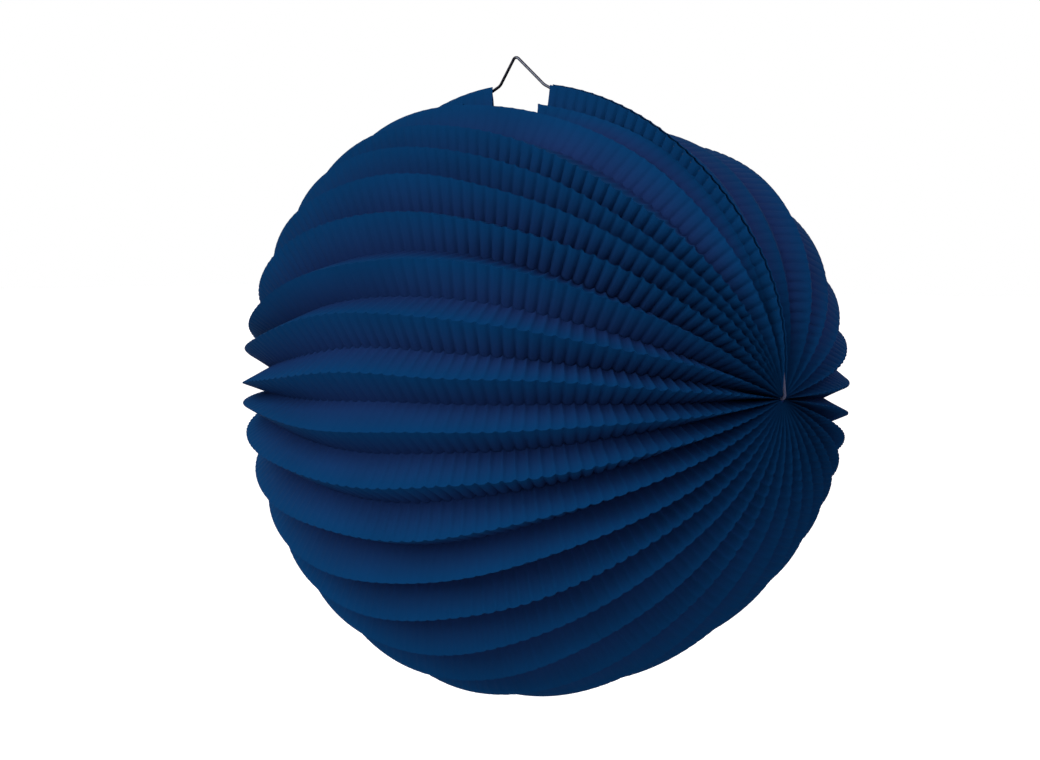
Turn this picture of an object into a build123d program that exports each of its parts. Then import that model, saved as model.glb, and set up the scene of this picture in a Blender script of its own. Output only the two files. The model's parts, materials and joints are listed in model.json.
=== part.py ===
"""Round accordion paper lantern, hung by a bent steel wire.

One long sheet of paper is pleated into a fan whose folds run from pole to pole. Opened
through a full turn about the polar axis, the fan closes into a ball: its first and last
panels meet in a fin over the top, on either side of the wire. The wire follows the fin
from pole to pole, rises into a pointed hanger over the mouth and turns in at each pole
as the pin that the gathered pleat ends turn on.

Frame: +Z up, X along the polar axis, origin inside the hanger's point, in millimetres.
Azimuth is measured about the polar axis, from the top (0) towards -Y (90).
"""

from build123d import *
from math import cos, exp, pi, radians, sin, sqrt
import os

# Shade, mm and degrees
CREST_RADIUS = 125.0  # ball radius over the crests
PANEL_WIDTH = 16.5  # paper panel, from crest to valley
SHALLOWEST_PLEAT = 4.0  # least depth of a pleat that is pulled nearly flat
PAPER = 0.8  # thickness of a modelled panel, along the radius
PLEATS_PER_SECTOR = 3
SECTOR_COUNT = 11
CREST_COUNT = SECTOR_COUNT * PLEATS_PER_SECTOR + 1  # the fin is the last crest
SEAM_AZIMUTH = 7.7
SPACING_WAVES = ((1, 0.2, 8.5), (2, 1.2, 3.8), (3, -1.0, 3.4))  # turns, sine, cosine
SEAM_PULL = 2.3  # the first pleats are drawn towards the seam
PULLED_PLEATS = 3
FLAT_AZIMUTH = -4.0  # around the mouth the ball is pulled a little flat
FLAT_SPREAD = 23.0
FLAT_DROP = 6.0

# Poles
ROUND_LATITUDE = 62.0  # beyond this the folds turn in to the pole
CREST_REACH = 118.0  # from the middle to the crest's end, along the polar axis
VALLEY_REACH = 102.5
POLE_RADIUS = 9.0  # the pleats are gathered inside this radius
GATHER_CLEARANCE = 0.3
GATHER_DIMPLE = 1.5
PIN_HOLE_RADIUS = 0.9

# Fin and mouth
FIN_RADIUS = 126.6
FIN_HALF_GAP = 0.9  # from the seam plane to each end panel
FIN_END_RADIUS = 24.0  # the end panels stop short of the pole, where the gap would cross them
MOUTH_HALF_WIDTH = 16.0
MOUTH_FRONT_VALLEY = 1.5
MOUTH_BACK_VALLEY = CREST_COUNT - 2.5
SIDES = {"left": -1, "right": 1}

# Hanger wire, in the seam plane: x from the ball's middle, y outwards from the polar axis
WIRE_RADIUS = 0.6
HOOP_RADIUS = 124.6
SHOULDER_RADIUS = 75.0  # the hoop's tighter turn towards each pole
FOOT_LATITUDE = 9.0  # where the hoop ends and the hanger's foot begins
FOOT_HALF_SPAN = 16.5
KNEE_HALF_SPAN = 11.6
KNEE_HEIGHT = 125.9
POINT_SHIFT = -2.0  # the hanger's point stands a little left of the middle
POINT_HEIGHT = 138.1
POINT_BEND = 1.8
KNEE_BEND = 5.0
PIN_BEND = 1.6
PIN_START = 106.0

left_knee = Vector(-KNEE_HALF_SPAN, KNEE_HEIGHT)
right_knee = Vector(KNEE_HALF_SPAN, KNEE_HEIGHT)
point = Vector(POINT_SHIFT, POINT_HEIGHT)


def inside_of_bend():
    """Highest place under the hanger's point, where a hook carries the lantern."""
    left_leg = (left_knee - point).normalized()
    right_leg = (right_knee - point).normalized()
    half_angle = radians(left_leg.get_angle(right_leg) / 2)
    bend_centre = point + (left_leg + right_leg).normalized() * (POINT_BEND / sin(half_angle))
    return bend_centre + Vector(0, POINT_BEND - WIRE_RADIUS)


hang = inside_of_bend()
CENTRE = Vector(
    -hang.X,
    hang.Y * sin(radians(SEAM_AZIMUTH)),
    -hang.Y * cos(radians(SEAM_AZIMUTH)),
)


def radial(azimuth):
    """Unit vector that points away from the polar axis at an azimuth."""
    return Vector(0, -sin(radians(azimuth)), cos(radians(azimuth)))


def meridian_plane(azimuth, offset=0.0):
    """Plane through both poles: local x along the polar axis, local y outwards."""
    normal = Vector(1, 0, 0).cross(radial(azimuth))
    return Plane(origin=CENTRE + normal * offset, x_dir=(1, 0, 0), z_dir=normal)


def fold_azimuth(fold):
    """Azimuth of a fold; whole numbers are crests and halves are valleys."""
    turn = 2 * pi * fold / CREST_COUNT
    azimuth = SEAM_AZIMUTH + 360 * fold / CREST_COUNT
    for waves, sine, cosine in SPACING_WAVES:
        azimuth += sine * sin(waves * turn) - cosine * (1 - cos(waves * turn))
    if fold < PULLED_PLEATS:
        azimuth -= SEAM_PULL * sin(pi * fold / PULLED_PLEATS)
    return azimuth


def crest_radius(fold):
    """Radius of the ball at a crest, less where it is pulled flat."""
    offset = (fold_azimuth(fold) - FLAT_AZIMUTH + 180) % 360 - 180
    return CREST_RADIUS - FLAT_DROP * exp(-((offset / FLAT_SPREAD) ** 4))


def valley_radius(fold):
    """A panel keeps its width, so wider spaced pleats are shallower."""
    pitch = radians(fold_azimuth(fold + 0.5) - fold_azimuth(fold - 0.5))
    half_chord = CREST_RADIUS * pitch / 2
    depth = sqrt(max(PANEL_WIDTH**2 - half_chord**2, SHALLOWEST_PLEAT**2))
    return (crest_radius(fold - 0.5) + crest_radius(fold + 0.5)) / 2 - depth


def turned_in_reach(radius, reach, height):
    """How far out a fold lies at a height above the polar axis, where it turns in to the pole."""
    angle = radians(ROUND_LATITUDE)
    start = Vector(radius * sin(angle), radius * cos(angle))
    inward = Vector(-sin(angle), -cos(angle))
    chord = Vector(reach, POLE_RADIUS) - start
    turn_radius = chord.length**2 / (2 * chord.dot(inward))
    turn_centre = start + inward * turn_radius
    return turn_centre.X + sqrt(turn_radius**2 - (height - turn_centre.Y) ** 2)


def band_section(plane, radius, reach, end_height=POLE_RADIUS):
    """Section of the paper along one fold: a round arc that turns in to each pole."""
    with BuildSketch(plane) as section:
        with BuildLine():
            ends = []
            for inset in (0, PAPER):
                end_x = turned_in_reach(radius - inset, reach - inset, end_height)
                arc = CenterArc((0, 0), radius - inset, 90 - ROUND_LATITUDE, 2 * ROUND_LATITUDE)
                TangentArc(arc @ 0, (end_x, end_height), tangent=(arc % 0) * -1)
                TangentArc(arc @ 1, (-end_x, end_height), tangent=arc % 1)
                ends.append(end_x)
            for side in (1, -1):
                Line((side * ends[0], end_height), (side * ends[1], end_height))
        make_face()
    return section.sketch


def fold_section(fold, end_height=POLE_RADIUS):
    """Section of the sheet on the meridian plane of a crest or a valley."""
    plane = meridian_plane(fold_azimuth(fold))
    if fold == int(fold):
        return band_section(plane, crest_radius(fold), CREST_REACH, end_height)
    return band_section(plane, valley_radius(fold), VALLEY_REACH, end_height)


def make_pleats(label, first_valley, last_valley):
    """Pleats of the sheet, from one valley to another."""
    steps = int(2 * (last_valley - first_valley))
    with BuildPart() as pleats:
        loft([fold_section(first_valley + step / 2) for step in range(steps + 1)], ruled=True)
    pleats.part.label = label
    return pleats.part


def make_end_panel(label, valley, gap):
    """The sheet's first or last panel, from its valley up to the fin's edge."""
    fin_plane = meridian_plane(SEAM_AZIMUTH, gap)
    fin_edge = band_section(fin_plane, FIN_RADIUS, CREST_REACH, FIN_END_RADIUS)
    with BuildPart() as panel:
        loft([fold_section(valley, FIN_END_RADIUS), fin_edge], ruled=True)
    panel.part.label = label
    return panel.part


def beside_mouth(whole, side_name):
    """What the mouth leaves of a part on one side."""
    side_length = 3 * CREST_RADIUS
    middle = Vector(SIDES[side_name] * (MOUTH_HALF_WIDTH + side_length / 2), 0, 0)
    with BuildPart() as kept:
        add(whole)
        with Locations(CENTRE + middle):
            Box(side_length, side_length, side_length, mode=Mode.INTERSECT)
    kept.part.label = f"{whole.label}_{side_name}"
    return kept.part


def make_gather(side_name):
    """Plug of gathered pleat ends at one pole, with the hole for the wire's pin."""
    side = SIDES[side_name]
    outer_end = side * (CREST_REACH - PAPER)
    inner_end = side * (VALLEY_REACH - PAPER)
    with BuildPart() as gather:
        with BuildSketch(meridian_plane(SEAM_AZIMUTH)):
            with BuildLine():
                Polyline(
                    (inner_end, PIN_HOLE_RADIUS),
                    (inner_end, POLE_RADIUS / 2),
                    (inner_end + side * POLE_RADIUS / 2, POLE_RADIUS - GATHER_CLEARANCE),
                    (outer_end, POLE_RADIUS - GATHER_CLEARANCE),
                    (outer_end - side * GATHER_DIMPLE, PIN_HOLE_RADIUS),
                    close=True,
                )
            make_face()
        revolve(axis=Axis(CENTRE, (1, 0, 0)))
    gather.part.label = f"pole_gather_{side_name}"
    return gather.part


def make_wire():
    """Pin, hoop, hanger, hoop and pin: one wire, bent in the seam plane."""
    foot_angle = radians(FOOT_LATITUDE)
    turn_angle = radians(ROUND_LATITUDE)
    shoulder_turn = pi / 2 - turn_angle
    pole_x = HOOP_RADIUS * sin(turn_angle) + SHOULDER_RADIUS * (1 - cos(shoulder_turn))
    shoulder_y = HOOP_RADIUS * cos(turn_angle) - SHOULDER_RADIUS * sin(shoulder_turn)
    foot_end = Vector(HOOP_RADIUS * sin(foot_angle), HOOP_RADIUS * cos(foot_angle))
    foot_rise = (foot_end.X - FOOT_HALF_SPAN) * foot_end.X / foot_end.Y
    with BuildPart() as wire:
        with BuildLine() as path:
            for side in SIDES.values():
                CenterArc(
                    (0, 0),
                    HOOP_RADIUS,
                    90 - side * FOOT_LATITUDE,
                    -side * (ROUND_LATITUDE - FOOT_LATITUDE),
                )
                JernArc(
                    (side * HOOP_RADIUS * sin(turn_angle), HOOP_RADIUS * cos(turn_angle)),
                    (side * cos(turn_angle), -sin(turn_angle)),
                    SHOULDER_RADIUS,
                    -side * (90 - ROUND_LATITUDE),
                )
                FilletPolyline(
                    (side * pole_x, shoulder_y),
                    (side * pole_x, 0),
                    (side * PIN_START, 0),
                    radius=PIN_BEND,
                )
            FilletPolyline(
                (-foot_end.X, foot_end.Y),
                (-FOOT_HALF_SPAN, foot_end.Y + foot_rise),
                left_knee,
                point,
                right_knee,
                (FOOT_HALF_SPAN, foot_end.Y + foot_rise),
                (foot_end.X, foot_end.Y),
                radius=[KNEE_BEND, KNEE_BEND, POINT_BEND, KNEE_BEND, KNEE_BEND],
            )
        centreline = path.wire()
        with BuildSketch(Plane(origin=centreline @ 0, z_dir=centreline % 0)):
            Circle(WIRE_RADIUS)
        sweep(path=centreline)
    placed = wire.part.moved(meridian_plane(SEAM_AZIMUTH).location)
    placed.label = "hanger_wire"
    return placed


def main():
    os.makedirs("parts", exist_ok=True)
    first_valley = 0.5
    last_valley = CREST_COUNT - 0.5
    parts = [make_wire()]
    for number in range(1, SECTOR_COUNT + 1):
        start = max((number - 1) * PLEATS_PER_SECTOR + first_valley, MOUTH_FRONT_VALLEY)
        end = min(number * PLEATS_PER_SECTOR + first_valley, MOUTH_BACK_VALLEY)
        parts.append(make_pleats(f"shade_sector_{number:02d}", start, end))
    cut_through = (
        make_pleats("front_mouth_pleat", first_valley, MOUTH_FRONT_VALLEY),
        make_pleats("back_mouth_pleats", MOUTH_BACK_VALLEY, last_valley),
        make_end_panel("front_end_panel", first_valley, FIN_HALF_GAP),
        make_end_panel("back_end_panel", last_valley, -FIN_HALF_GAP),
    )
    for side_name in SIDES:
        parts.append(make_gather(side_name))
        parts.extend(beside_mouth(whole, side_name) for whole in cut_through)
    for part in parts:
        export_step(part, f"parts/{part.label}.step")


main()
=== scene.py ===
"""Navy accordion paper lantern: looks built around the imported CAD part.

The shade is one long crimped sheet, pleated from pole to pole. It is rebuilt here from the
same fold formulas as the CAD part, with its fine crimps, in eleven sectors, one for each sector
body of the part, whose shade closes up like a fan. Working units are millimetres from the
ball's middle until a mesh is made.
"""

import json
import math

import bpy
import bmesh
import numpy as np
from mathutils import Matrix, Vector


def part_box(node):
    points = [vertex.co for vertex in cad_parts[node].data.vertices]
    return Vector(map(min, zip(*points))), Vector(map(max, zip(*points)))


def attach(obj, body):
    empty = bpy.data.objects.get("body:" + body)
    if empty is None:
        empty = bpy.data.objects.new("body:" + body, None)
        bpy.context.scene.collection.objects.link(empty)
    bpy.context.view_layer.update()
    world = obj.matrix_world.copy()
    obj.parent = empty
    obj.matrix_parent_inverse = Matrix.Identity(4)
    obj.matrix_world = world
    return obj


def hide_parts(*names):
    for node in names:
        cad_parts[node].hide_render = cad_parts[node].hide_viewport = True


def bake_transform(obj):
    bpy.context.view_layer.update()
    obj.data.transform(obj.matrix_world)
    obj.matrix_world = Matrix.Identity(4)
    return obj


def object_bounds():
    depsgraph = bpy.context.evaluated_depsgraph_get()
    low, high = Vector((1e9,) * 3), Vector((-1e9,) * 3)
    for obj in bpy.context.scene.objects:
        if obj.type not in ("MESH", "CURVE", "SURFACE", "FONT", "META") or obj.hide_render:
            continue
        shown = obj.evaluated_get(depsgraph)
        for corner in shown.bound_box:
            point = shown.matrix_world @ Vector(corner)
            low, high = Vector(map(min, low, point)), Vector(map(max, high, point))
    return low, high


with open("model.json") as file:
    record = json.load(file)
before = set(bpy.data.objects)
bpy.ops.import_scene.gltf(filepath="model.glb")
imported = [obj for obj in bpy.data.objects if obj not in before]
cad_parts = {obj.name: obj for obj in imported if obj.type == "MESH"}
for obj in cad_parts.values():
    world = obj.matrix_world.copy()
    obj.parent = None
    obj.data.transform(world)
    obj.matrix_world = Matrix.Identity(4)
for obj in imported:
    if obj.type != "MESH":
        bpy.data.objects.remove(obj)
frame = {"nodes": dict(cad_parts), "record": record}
cad_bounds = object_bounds()

MM = 0.001

# Shade, as in the CAD source
CREST_RADIUS = 125.0
PANEL_WIDTH = 16.5
SHALLOWEST_PLEAT = 4.0
PLEATS_PER_SECTOR = 3
SECTOR_COUNT = 11
CREST_COUNT = SECTOR_COUNT * PLEATS_PER_SECTOR + 1
SEAM_AZIMUTH = 7.7
SPACING_WAVES = ((1, 0.2, 8.5), (2, 1.2, 3.8), (3, -1.0, 3.4))
SEAM_PULL = 2.3
PULLED_PLEATS = 3
FLAT_AZIMUTH = -4.0
FLAT_SPREAD = 23.0
FLAT_DROP = 6.0
ROUND_LATITUDE = 62.0
CREST_REACH = 118.0
VALLEY_REACH = 102.5
FIN_RADIUS = 126.6
FIN_HALF_GAP = 0.9
MOUTH_FRONT_VALLEY = 1.5
MOUTH_BACK_VALLEY = CREST_COUNT - 2.5

# Paper
POLE_CORE_RADIUS = 1.6  # the pleats run in to the pressed core round the pin
RIB_DEPTH = 0.06  # share of a pole core's radius
PAPER_THICKNESS = 0.22
CRIMP_COUNT = 78  # from pole to pole
SAMPLES_PER_CRIMP = 8
CRIMP_HEIGHT = 0.34  # at a valley; the crimps are shallower towards a crest
CREST_CRIMP_HEIGHT = 0.20
CRISP_RIGHT = 0.9  # share by which the crimps are deeper towards the right pole
CRIMP_FADES_AT = 0.85  # share of the way to a crest at which a crimp is at its shallowest
CRIMP_FADE_POWER = 0.7
CRIMP_FADE_START = 6.0  # from the polar axis: no crimps nearer than this
CRIMP_FADE_LENGTH = 30.0
PANEL_STATIONS = (0.0, 0.12, 0.26, 0.42, 0.58, 0.74, 0.88)  # share of the way across a panel
SHARP_ANGLE = 55.0
MERGE_DISTANCE = 1e-7  # metres

# Below this height the wire is dull and painted dark blue-grey: painted shade.
WIRE_DULL_AND_SHADED_BELOW = (-0.060, -0.030)  # height under the hang point

# Mouth: x of the cut's two ends at these numbers of pleats from the fin
MOUTH_STEPS = (0.0, 0.5, 1.0, 1.5)
MOUTH_FRONT_LEFT = (-15.1, -12.5, -18.0, -20.0)
MOUTH_FRONT_RIGHT = (15.2, 15.6, 19.0, 21.0)
MOUTH_BACK_LEFT = (-16.6, -24.5, -28.0, -28.0)
MOUTH_BACK_RIGHT = (15.2, 16.7, 18.2, 19.7)

# How the pleats hang out of true. Degrees that a crest leaves its azimuth by towards each pole,
# share of its depth that a valley keeps where the paper beside the seam is pulled flat, and
# millimetres that the shade stands out by, as waves round the line of sight.
RIGHT_DRIFT = {1: -7.0, 2: -4.5, 3: 1.0, 4: 0.8, 5: -1.0, 6: -1.8, 7: -2.0}
RIGHT_LATITUDES = (0.0, 42.0)
LEFT_DRIFT = {4: 1.0, 5: 4.0, 6: 6.5, 7: 8.3, 8: 4.8, 9: 3.3, 10: -2.0, 11: -4.0, 12: -2.1}
LEFT_LATITUDES = (12.0, -50.0)
FLAT_VALLEYS = {1.5: 0.35, 2.5: 0.6, 32.5: 0.45, 33.5: 0.25}
FLAT_LATITUDES = (8.0, 26.0, 58.0, 76.0)
OUT_OF_ROUND = (-4.5, 1.3, -0.9, 1.4, 1.1, 2.3)
BACK_DIP = 5.0  # behind the mouth
BACK_DIP_AZIMUTH = -16.0
BACK_DIP_SPREAD = (15.0, 24.0)  # azimuth, latitude
WANDER = 0.22  # degrees, along a fold

CAMERA_AZIMUTH = 39.0
CAMERA_ELEVATION = 3.0
CAMERA_DISTANCE = 10 * CREST_RADIUS * MM
CAMERA_LENS = 104.4
IMAGE_WIDTH = 1040
VIEW_SHIFT = (-28, 9)  # of the image, in its own pixels
FLOOR_DROP = 0.34  # floor below the lantern
FLOOR_WHITENS = (0.7, 1.6, 0.0, 0.8)  # metres behind the lantern, glow
ROOM_WHITENS = (-0.1, 0.45, 0.0, 1.0)  # from the dim room round the camera to the white backdrop
ROOM_COLOUR = (0.34, 0.23, 0.27, 1.0)

LIGHTS = (  # name; direction to the right, up and back; distance; size; watts; colour
    ("key", (-0.62, 0.5, 0.6), 2.0, 2.0, 60.0, (0.86, 1.0, 1.0)),
    ("fill", (0.85, 0.60, 0.55), 2.0, 1.6, 21.0, (1.0, 0.82, 0.94)),
    ("front", (0.10, -0.15, 1.0), 2.2, 2.4, 17.0, (0.90, 1.0, 1.0)),
)

joint = frame["record"]["behaviour"]["joints"][0]
low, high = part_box("shade_sector_05")
CENTRE = np.array([(low.x + high.x) / 2, joint["pos_m"][1], joint["pos_m"][2]])


def link_object(name, data):
    obj = bpy.data.objects.new(name, data)
    bpy.context.scene.collection.objects.link(obj)
    return obj


# Camera ------------------------------------------------------------------------------

def add_camera():
    """Adds the camera and returns its right, up and back directions."""
    azimuth = math.radians(CAMERA_AZIMUTH)
    elevation = math.radians(CAMERA_ELEVATION)
    back = Vector((
        math.sin(azimuth) * math.cos(elevation),
        -math.cos(azimuth) * math.cos(elevation),
        math.sin(elevation),
    ))
    data = bpy.data.cameras.new("camera")
    camera = link_object("camera", data)
    camera.location = Vector(CENTRE) + back * CAMERA_DISTANCE
    camera.rotation_mode = "QUATERNION"
    camera.rotation_quaternion = (-back).to_track_quat("-Z", "Y")
    data.lens = CAMERA_LENS
    data.sensor_width = 36.0
    data.shift_x = VIEW_SHIFT[0] / IMAGE_WIDTH
    data.shift_y = VIEW_SHIFT[1] / IMAGE_WIDTH
    data.clip_start = 0.05
    data.clip_end = 100.0
    bpy.context.scene.camera = camera
    right = Vector((math.cos(azimuth), math.sin(azimuth), 0))
    return right, back.cross(right), back


camera_right, camera_up, camera_back = add_camera()


# Shade geometry ----------------------------------------------------------------------

def fold_azimuth(fold):
    """Azimuth of a fold in degrees; whole numbers are crests and halves are valleys."""
    turn = 2 * math.pi * fold / CREST_COUNT
    azimuth = SEAM_AZIMUTH + 360 * fold / CREST_COUNT
    for waves, sine, cosine in SPACING_WAVES:
        azimuth += sine * math.sin(waves * turn) - cosine * (1 - math.cos(waves * turn))
    if fold < PULLED_PLEATS:
        azimuth -= SEAM_PULL * math.sin(math.pi * fold / PULLED_PLEATS)
    return azimuth


def crest_radius(fold):
    offset = (fold_azimuth(fold) - FLAT_AZIMUTH + 180) % 360 - 180
    return CREST_RADIUS - FLAT_DROP * math.exp(-((offset / FLAT_SPREAD) ** 4))


def valley_radius(fold):
    pitch = math.radians(fold_azimuth(fold + 0.5) - fold_azimuth(fold - 0.5))
    half_chord = CREST_RADIUS * pitch / 2
    depth = math.sqrt(max(PANEL_WIDTH**2 - half_chord**2, SHALLOWEST_PLEAT**2))
    return (crest_radius(fold - 0.5) + crest_radius(fold + 0.5)) / 2 - depth


def meridian_curve(radius, reach, latitudes):
    """Points (x, distance from the polar axis) of a fold: a round arc, then a turn in to a pole."""
    side = np.sign(latitudes)
    latitude = np.abs(latitudes)
    turn = math.radians(ROUND_LATITUDE)
    start = np.array([radius * math.sin(turn), radius * math.cos(turn)])
    chord = np.array([reach, POLE_CORE_RADIUS]) - start
    heading = -turn
    half_sweep = math.atan2(chord[1], chord[0]) - heading
    share = np.clip((latitude - ROUND_LATITUDE) / (90 - ROUND_LATITUDE), 0, 1)
    length = np.linalg.norm(chord) * np.sin(share * half_sweep) / math.sin(half_sweep)
    angle = heading + share * half_sweep
    round_part = latitude <= ROUND_LATITUDE
    arc = np.radians(np.minimum(latitude, ROUND_LATITUDE))
    x = np.where(round_part, radius * np.sin(arc), start[0] + length * np.cos(angle))
    rho = np.where(round_part, radius * np.cos(arc), start[1] + length * np.sin(angle))
    return side * x, rho


def smooth_share(values, start, end):
    """Rises smoothly from 0 to 1 as the values go from start to end."""
    share = np.clip((values - start) / (end - start), 0, 1)
    return share**2 * (3 - 2 * share)


def drift(fold, latitudes):
    """Degrees that a fold leaves its azimuth by; a valley stays midway between its crests."""
    if fold != int(fold):
        return (drift(fold - 0.5, latitudes) + drift(fold + 0.5, latitudes)) / 2
    if not 0 < fold < CREST_COUNT:
        return np.zeros_like(latitudes)
    right = RIGHT_DRIFT.get(int(fold), 0.0) * smooth_share(latitudes, *RIGHT_LATITUDES)
    left = LEFT_DRIFT.get(int(fold), 0.0) * smooth_share(latitudes, *LEFT_LATITUDES)
    turn = np.radians(latitudes)
    wander = WANDER * (np.sin(5 * turn + 2.1 * fold) + np.sin(9 * turn + 4.7 * fold)) * np.cos(turn)
    return right + left + wander


def out_of_round(azimuth, latitudes):
    """Millimetres that the hanging shade stands out from a true ball."""
    turn, latitude = np.radians(azimuth), np.radians(latitudes)
    outward = np.stack([
        np.sin(latitude) + 0 * turn,
        -np.cos(latitude) * np.sin(turn),
        np.cos(latitude) * np.cos(turn),
    ], -1)
    x, y = outward @ np.array(camera_right), outward @ np.array(camera_up)
    waves = (x, y, x * x - y * y, 2 * x * y, x**3 - 3 * x * y * y, 3 * x * x * y - y**3)
    change = sum(size * wave for size, wave in zip(OUT_OF_ROUND, waves)) * np.cos(latitude)
    from_dip = (azimuth - BACK_DIP_AZIMUTH + 180) % 360 - 180
    dip = (from_dip / BACK_DIP_SPREAD[0]) ** 2 + (latitudes / BACK_DIP_SPREAD[1]) ** 2
    return change - BACK_DIP * np.exp(-dip)


def place(x, rho, azimuth, offset=0.0):
    """Points in space from positions on a meridian plane, which may be shifted sideways."""
    turn = np.radians(azimuth)
    y = -rho * np.sin(turn) - offset * np.cos(turn)
    z = rho * np.cos(turn) - offset * np.sin(turn)
    return np.stack([x, y, z], -1)


def fold_line(fold, latitudes):
    azimuth = fold_azimuth(fold) + drift(fold, latitudes)
    crest = fold == int(fold)
    radius = crest_radius(fold) if crest else valley_radius(fold)
    reach = CREST_REACH if crest else VALLEY_REACH
    x, rho = meridian_curve(radius, reach, latitudes)
    if fold in FLAT_VALLEYS:
        beside = (crest_radius(fold - 0.5) + crest_radius(fold + 0.5)) / 2
        flat_x, flat_rho = meridian_curve(beside, CREST_REACH, latitudes)
        start, full, fading, end = FLAT_LATITUDES
        pulled = smooth_share(latitudes, start, full) * smooth_share(latitudes, end, fading)
        pulled = pulled * (1 - FLAT_VALLEYS[fold])
        x, rho = x + (flat_x - x) * pulled, rho + (flat_rho - rho) * pulled
    share = 1 + out_of_round(azimuth, latitudes) / radius
    return place(x, rho * share, azimuth)


def fin_line(latitudes, offset):
    azimuth = np.full_like(latitudes, SEAM_AZIMUTH)
    x, rho = meridian_curve(FIN_RADIUS, CREST_REACH, latitudes)
    return place(x, rho, azimuth, offset)


def crimp(points, fold, station, latitudes):
    """Presses the crimps into a column of points by turning them about the polar axis.

    They are deepest at a valley, die out towards a crest, and are not equally crisp all over.
    """
    valley_share = max(0.0, 1 - station / CRIMP_FADES_AT) ** CRIMP_FADE_POWER
    height = CREST_CRIMP_HEIGHT + (CRIMP_HEIGHT - CREST_CRIMP_HEIGHT) * valley_share
    turn = np.radians(latitudes)
    crisp = 1 + 0.35 * np.sin(2.3 * fold + 0.6) + 0.25 * np.sin(4 * turn + 1.7 * fold)
    crisp = crisp + CRISP_RIGHT * smooth_share(latitudes, -10, 40)
    phase = 2 * math.pi * CRIMP_COUNT * (latitudes + 90) / 180
    groove = ((1 + np.cos(phase)) / 2) ** 3
    rho = np.hypot(points[:, 1], points[:, 2])
    fade = np.clip((rho - CRIMP_FADE_START) / CRIMP_FADE_LENGTH, 0, 1)
    tilt = height * crisp * fade * (1 - 2 * groove) / rho
    y, z = points[:, 1].copy(), points[:, 2].copy()
    points[:, 1] = y * np.cos(tilt) - z * np.sin(tilt)
    points[:, 2] = z * np.cos(tilt) + y * np.sin(tilt)
    return points


latitudes = np.linspace(-90, 90, CRIMP_COUNT * SAMPLES_PER_CRIMP + 1)


def mouth_edges(fold):
    """Where the mouth cuts a fold, left and right, or None away from the mouth."""
    from_fin = min(abs(fold), abs(fold - CREST_COUNT))
    front = fold < CREST_COUNT / 2
    if from_fin > (MOUTH_FRONT_VALLEY if front else CREST_COUNT - MOUTH_BACK_VALLEY):
        return None
    left = np.interp(from_fin, MOUTH_STEPS, MOUTH_FRONT_LEFT if front else MOUTH_BACK_LEFT)
    right = np.interp(from_fin, MOUTH_STEPS, MOUTH_FRONT_RIGHT if front else MOUTH_BACK_RIGHT)
    return left, right


def corners_of(grid):
    """The four corner values of every cell of a grid."""
    return grid[:-1, :-1], grid[1:, :-1], grid[1:, 1:], grid[:-1, 1:]


def sheet_mesh(name, columns):
    """Mesh of a sheet from columns of (fold, station, points), with the mouth cut out."""
    grid = np.array([points for _, _, points in columns])
    inside = np.zeros(grid.shape[:2], bool)
    for index, (fold, _, _) in enumerate(columns):
        edges = mouth_edges(fold)
        if edges is None:
            continue
        left, right = edges
        x = grid[index, :, 0]
        inside[index] = (x > left) & (x < right)
        if fold in (MOUTH_FRONT_VALLEY, MOUTH_BACK_VALLEY):
            continue
        first, last = np.searchsorted(x, left, side="right"), np.searchsorted(x, right) - 1
        middle = (first + last) // 2
        cuts = (
            (first - 1, left, slice(first, middle + 1)),
            (last, right, slice(middle + 1, last + 1)),
        )
        for row, edge, moved in cuts:
            share = (edge - x[row]) / (x[row + 1] - x[row])
            grid[index, moved] = grid[index, row] * (1 - share) + grid[index, row + 1] * share
    count, rows = inside.shape
    numbers = np.arange(count * rows).reshape(count, rows)
    quads = np.stack(corners_of(numbers), -1)
    gone = np.all(corners_of(inside), axis=0)
    quads = quads[~gone]
    used, quads = np.unique(quads, return_inverse=True)
    quads = quads.reshape(-1, 4)
    points = grid.reshape(-1, 3)[used] * MM + CENTRE
    mesh = bpy.data.meshes.new(name)
    mesh.from_pydata(points.tolist(), [], quads.tolist())
    folds = np.repeat([fold for fold, _, _ in columns], rows)[used]
    stations = np.repeat([station for _, station, _ in columns], rows)[used]
    azimuths = np.repeat([column_azimuth(column) for column in columns], rows)[used]
    for label, values in (("crest_share", stations), ("azimuth", azimuths)):
        attribute = mesh.attributes.new(label, "FLOAT", "POINT")
        attribute.data.foreach_set("value", values.astype(np.float32))
    obj = link_object(name, mesh)
    clean = bmesh.new()
    clean.from_mesh(mesh)
    bmesh.ops.remove_doubles(clean, verts=clean.verts, dist=MERGE_DISTANCE)
    bmesh.ops.dissolve_degenerate(clean, edges=clean.edges, dist=MERGE_DISTANCE)
    clean.to_mesh(mesh)
    clean.free()
    return thicken(obj)


def column_azimuth(column):
    """Azimuth of a column's middle point, which is where its fold is in its true place."""
    points = column[2]
    middle = points[len(points) // 2]
    return math.degrees(math.atan2(-middle[1], middle[2])) % 360


def thicken(obj):
    """Gives a sheet its paper thickness as real mesh, without a modifier left on it."""
    solidify = obj.modifiers.new("paper", "SOLIDIFY")
    solidify.thickness = PAPER_THICKNESS * MM
    solidify.offset = 0.0
    bpy.context.view_layer.update()
    evaluated = obj.evaluated_get(bpy.context.evaluated_depsgraph_get())
    mesh = bpy.data.meshes.new_from_object(evaluated)
    obj.modifiers.clear()
    obj.data = mesh
    mesh.name = obj.name
    mesh.shade_smooth()
    mesh.set_sharp_from_angle(angle=math.radians(SHARP_ANGLE))
    return obj


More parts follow.
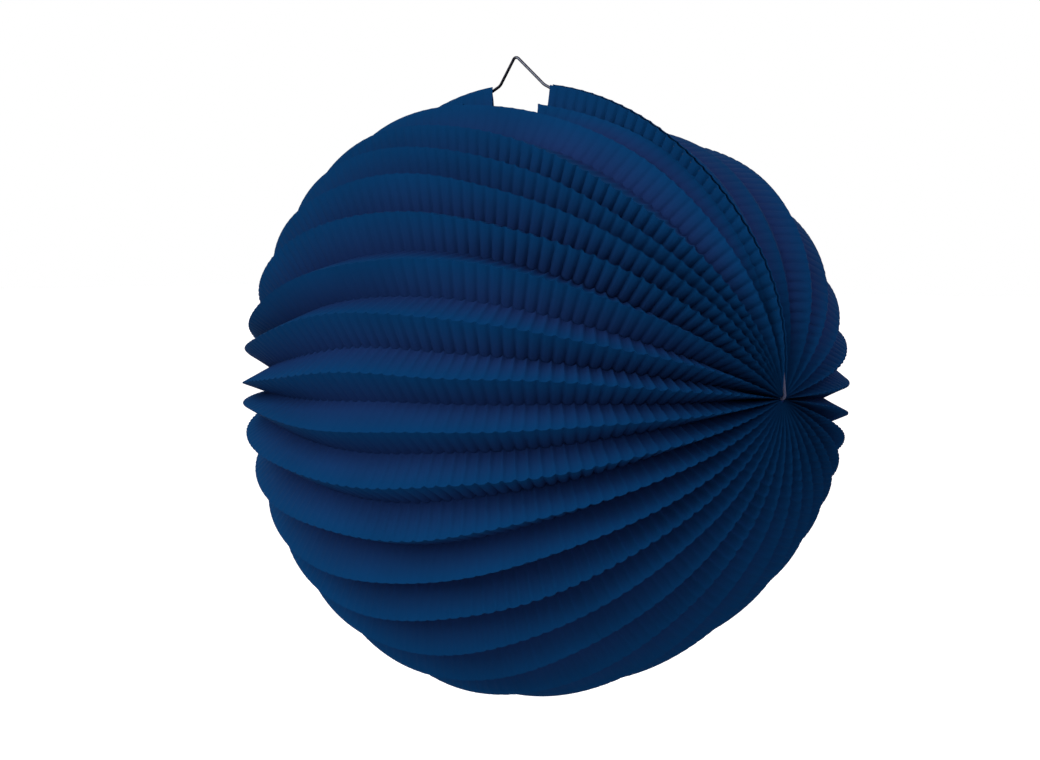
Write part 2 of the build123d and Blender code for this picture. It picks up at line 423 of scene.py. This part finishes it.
def sector_columns(first_fold, last_fold):
    """Columns of points over a sector, from valley to crest to valley."""
    columns = []
    steps = int(2 * (last_fold - first_fold))
    for step in range(steps):
        fold = first_fold + step / 2
        rising = fold != int(fold)
        valley, crest = (fold, fold + 0.5) if rising else (fold + 0.5, fold)
        valley_line, crest_line = fold_line(valley, latitudes), fold_line(crest, latitudes)
        for share in PANEL_STATIONS:
            station = share if rising else 1 - share
            position = fold + share / 2
            points = valley_line * (1 - station) + crest_line * station
            columns.append((position, station, crimp(points, position, station, latitudes)))
    end = fold_line(last_fold, latitudes)
    columns.append((last_fold, 0.0, crimp(end, last_fold, 0.0, latitudes)))
    return columns


def add_sector(number):
    """Three pleats of the sheet for one sector, whose CAD pieces it hides."""
    first_fold = (number - 1) * PLEATS_PER_SECTOR + 0.5
    last_fold = first_fold + PLEATS_PER_SECTOR
    obj = sheet_mesh(f"pleated_paper_{number:02d}", sector_columns(first_fold, last_fold))
    body = f"sector_{number:02d}"
    start, end = fold_azimuth(first_fold), fold_azimuth(last_fold)
    equator = len(latitudes) // 2
    edges = [fold_line(fold, latitudes)[equator] * MM + CENTRE for fold in (first_fold, last_fold)]
    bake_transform(obj)
    azimuths = np.zeros(len(obj.data.vertices), np.float32)
    obj.data.attributes["azimuth"].data.foreach_get("value", azimuths)
    body_nodes = frame["record"]["behaviour"]["bodies"][body]
    names = [node for node in body_nodes if "end_panel" not in node]
    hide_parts(*names)
    return obj


def add_end_panel(name, valley, offset, body):
    """The sheet's first or last panel, from its valley up to the fin's edge."""
    valley_line = fold_line(valley, latitudes)
    edge_line = fin_line(latitudes, offset)
    fold = 0.0 if valley < 1 else float(CREST_COUNT)
    toward = 0.5 if valley < 1 else -0.5
    columns = []
    for station in PANEL_STATIONS + (1.0,):
        points = valley_line * (1 - station) + edge_line * station
        position = fold + toward * (1 - station)
        columns.append((position, station, crimp(points, position, station, latitudes)))
    obj = sheet_mesh(name, columns)
    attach(obj, body)
    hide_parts(f"{name}_left", f"{name}_right")
    return obj


# Materials ---------------------------------------------------------------------------

def new_material(name):
    material = bpy.data.materials.new(name)
    material.use_nodes = True
    return material, material.node_tree.nodes, material.node_tree.links


def paper_material():
    """Navy crimped paper: dye a little uneven, with painted shade that makes it darker and purpler
    in the folds, and fine fibres.
    """
    material, nodes, links = new_material("navy_paper")
    shader = nodes["Principled BSDF"]
    position = nodes.new("ShaderNodeTexCoord")
    share = nodes.new("ShaderNodeAttribute")
    share.attribute_name = "crest_share"
    # Painted shade: a darker, purpler navy towards each valley and a lighter, tealer navy at a
    # crest.
    ramp = nodes.new("ShaderNodeValToRGB")
    ramp.color_ramp.elements[0].color = (0.0062, 0.0180, 0.0700, 1)
    ramp.color_ramp.elements[0].position = 0.1
    ramp.color_ramp.elements[1].color = (0.0013, 0.0245, 0.0810, 1)
    ramp.color_ramp.elements[1].position = 0.9
    links.new(share.outputs["Fac"], ramp.inputs["Fac"])
    cloud = nodes.new("ShaderNodeTexNoise")
    cloud.inputs["Scale"].default_value = 30.0
    cloud.inputs["Detail"].default_value = 4.0
    links.new(position.outputs["Object"], cloud.inputs["Vector"])
    shade = nodes.new("ShaderNodeHueSaturation")
    value = nodes.new("ShaderNodeMapRange")
    value.inputs["To Min"].default_value = 0.86
    value.inputs["To Max"].default_value = 1.14
    links.new(cloud.outputs["Fac"], value.inputs["Value"])
    links.new(value.outputs["Result"], shade.inputs["Value"])
    links.new(ramp.outputs["Color"], shade.inputs["Color"])
    links.new(shade.outputs["Color"], shader.inputs["Base Color"])
    fibre = nodes.new("ShaderNodeTexNoise")
    fibre.inputs["Scale"].default_value = 1800.0
    fibre.inputs["Detail"].default_value = 3.0
    links.new(position.outputs["Object"], fibre.inputs["Vector"])
    rough = nodes.new("ShaderNodeMapRange")
    rough.inputs["To Min"].default_value = 0.68
    rough.inputs["To Max"].default_value = 0.92
    links.new(fibre.outputs["Fac"], rough.inputs["Value"])
    links.new(rough.outputs["Result"], shader.inputs["Roughness"])
    bump = nodes.new("ShaderNodeBump")
    bump.inputs["Strength"].default_value = 0.12
    bump.inputs["Distance"].default_value = 0.0001
    links.new(fibre.outputs["Fac"], bump.inputs["Height"])
    links.new(bump.outputs["Normal"], shader.inputs["Normal"])
    shader.inputs["Specular IOR Level"].default_value = 0.015
    return material


def steel_material():
    """Drawn steel wire: metallic above the shade but painted very dark there, painted shade for the
    dark it reflects; dull and painted dark blue-grey where it turns in at the poles, painted shade
    too.
    """
    material, nodes, links = new_material("bright_steel")
    shader = nodes["Principled BSDF"]
    position = nodes.new("ShaderNodeTexCoord")
    marks = nodes.new("ShaderNodeTexNoise")
    marks.inputs["Scale"].default_value = 900.0
    marks.inputs["Detail"].default_value = 2.0
    links.new(position.outputs["Object"], marks.inputs["Vector"])
    # The metal's colour is painted very dark, painted shade for the dark the wire reflects; the
    # marks vary it at random.
    bright = nodes.new("ShaderNodeValToRGB")
    bright.color_ramp.elements[0].color = (0.020, 0.018, 0.030, 1)
    bright.color_ramp.elements[1].color = (0.090, 0.090, 0.110, 1)
    links.new(marks.outputs["Fac"], bright.inputs["Fac"])
    height = nodes.new("ShaderNodeSeparateXYZ")
    links.new(position.outputs["Object"], height.inputs["Vector"])
    above = nodes.new("ShaderNodeMapRange")
    above.inputs["From Min"].default_value = WIRE_DULL_AND_SHADED_BELOW[0]
    above.inputs["From Max"].default_value = WIRE_DULL_AND_SHADED_BELOW[1]
    links.new(height.outputs["Z"], above.inputs["Value"])
    # Painted shade: below the shade's top the wire is dark blue-grey, dull and not metallic.
    tint = nodes.new("ShaderNodeMix")
    tint.data_type = "RGBA"
    tint.inputs["A"].default_value = (0.045, 0.050, 0.085, 1)
    links.new(above.outputs["Result"], tint.inputs["Factor"])
    links.new(bright.outputs["Color"], tint.inputs["B"])
    links.new(tint.outputs["Result"], shader.inputs["Base Color"])
    rough = nodes.new("ShaderNodeMapRange")
    rough.inputs["To Min"].default_value = 0.60
    rough.inputs["To Max"].default_value = 0.30
    links.new(above.outputs["Result"], rough.inputs["Value"])
    links.new(rough.outputs["Result"], shader.inputs["Roughness"])
    links.new(above.outputs["Result"], shader.inputs["Metallic"])
    # Painted shade: a dark edge tint darkens the wire's rims.
    shader.inputs["Specular Tint"].default_value = (0.05, 0.05, 0.08, 1)
    return material


def floor_material():
    """Pale seamless paper that runs up to white behind the lantern."""
    material, nodes, links = new_material("pale_floor")
    shader = nodes["Principled BSDF"]
    shader.inputs["Base Color"].default_value = (0.58, 0.58, 0.59, 1)
    shader.inputs["Roughness"].default_value = 0.9
    shader.inputs["Emission Color"].default_value = (1, 1, 1, 1)
    glow = facing_share(nodes, links, "Object", FLOOR_WHITENS)
    links.new(glow.outputs["Result"], shader.inputs["Emission Strength"])
    return material


def facing_share(nodes, links, coordinate, limits):
    """Rises from one value to another along one fixed level direction in the room."""
    position = nodes.new("ShaderNodeTexCoord")
    away = nodes.new("ShaderNodeVectorMath")
    away.operation = "DOT_PRODUCT"
    away.inputs[1].default_value = (-camera_back.x, -camera_back.y, 0)
    links.new(position.outputs[coordinate], away.inputs[0])
    share = nodes.new("ShaderNodeMapRange")
    share.interpolation_type = "SMOOTHSTEP"
    for name, value in zip(("From Min", "From Max", "To Min", "To Max"), limits):
        share.inputs[name].default_value = value
    links.new(away.outputs["Value"], share.inputs["Value"])
    return share


# Poles -------------------------------------------------------------------------------

def add_pole_core(name, side, node):
    """The pressed paper ends round the pin: a short ribbed plug."""
    ribs = 2 * CREST_COUNT
    stations = (  # x, radius
        (VALLEY_REACH - 1.0, 0.75),
        (VALLEY_REACH, 1.5),
        (109.0, 1.9),
        (CREST_REACH - 1.2, 1.9),
        (CREST_REACH - 0.6, 1.5),
        (CREST_REACH - 1.0, 0.8),
    )
    points = []
    for x, radius in stations:
        for rib in range(ribs):
            turn = 2 * math.pi * rib / ribs
            r = radius * (1 + RIB_DEPTH if rib % 2 else 1 - RIB_DEPTH)
            points.append((
                side * x * MM + CENTRE[0],
                r * math.sin(turn) * MM + CENTRE[1],
                r * math.cos(turn) * MM + CENTRE[2],
            ))
    faces = []
    for ring in range(len(stations)):
        for rib in range(ribs):
            a, b = ring * ribs, ((ring + 1) % len(stations)) * ribs
            faces.append((a + rib, a + (rib + 1) % ribs, b + (rib + 1) % ribs, b + rib))
    mesh = bpy.data.meshes.new(name)
    mesh.from_pydata(points, [], faces)
    obj = link_object(name, mesh)
    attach(obj, "hanger")
    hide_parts(node)
    return obj


paper = paper_material()
steel = steel_material()
pieces = [add_sector(number) for number in range(1, SECTOR_COUNT + 1)]
pieces.append(add_end_panel("front_end_panel", 0.5, FIN_HALF_GAP, "hanger"))
last_sector = f"sector_{SECTOR_COUNT}"
pieces.append(add_end_panel("back_end_panel", CREST_COUNT - 0.5, -FIN_HALF_GAP, last_sector))
pieces.append(add_pole_core("pole_core_left", -1, "pole_gather_left"))
pieces.append(add_pole_core("pole_core_right", 1, "pole_gather_right"))
for piece in pieces:
    piece.data.materials.clear()
    piece.data.materials.append(paper)
wire = frame["nodes"]["hanger_wire"]
wire.data.materials.clear()
wire.data.materials.append(steel)


# Studio ------------------------------------------------------------------------------

def add_light(name, direction, distance, size, power, colour):
    data = bpy.data.lights.new(name, "AREA")
    data.shape = "SQUARE"
    data.size = size
    data.energy = power
    data.color = colour
    light = link_object(name, data)
    where = camera_right * direction[0] + camera_up * direction[1] + camera_back * direction[2]
    where.normalize()
    light.location = Vector(CENTRE) + where * distance
    light.rotation_mode = "QUATERNION"
    light.rotation_quaternion = (-where).to_track_quat("-Z", "Y")


def add_studio():
    floor_level = cad_bounds[0].z - FLOOR_DROP
    bpy.ops.mesh.primitive_plane_add(size=40, location=(0, 0, floor_level))
    floor = bpy.context.object
    floor.name = "floor"
    floor.data.materials.append(floor_material())
    world = bpy.data.worlds.new("studio")
    world.use_nodes = True
    nodes, links = world.node_tree.nodes, world.node_tree.links
    background = nodes["Background"]
    share = facing_share(nodes, links, "Generated", ROOM_WHITENS)
    colour = nodes.new("ShaderNodeMix")
    colour.data_type = "RGBA"
    colour.inputs["A"].default_value = ROOM_COLOUR
    colour.inputs["B"].default_value = (1, 1, 1, 1)
    links.new(share.outputs["Result"], colour.inputs["Factor"])
    links.new(colour.outputs["Result"], background.inputs["Color"])
    bpy.context.scene.world = world
    for light in LIGHTS:
        add_light(*light)


add_studio()
bpy.context.scene.view_settings.view_transform = "Standard"
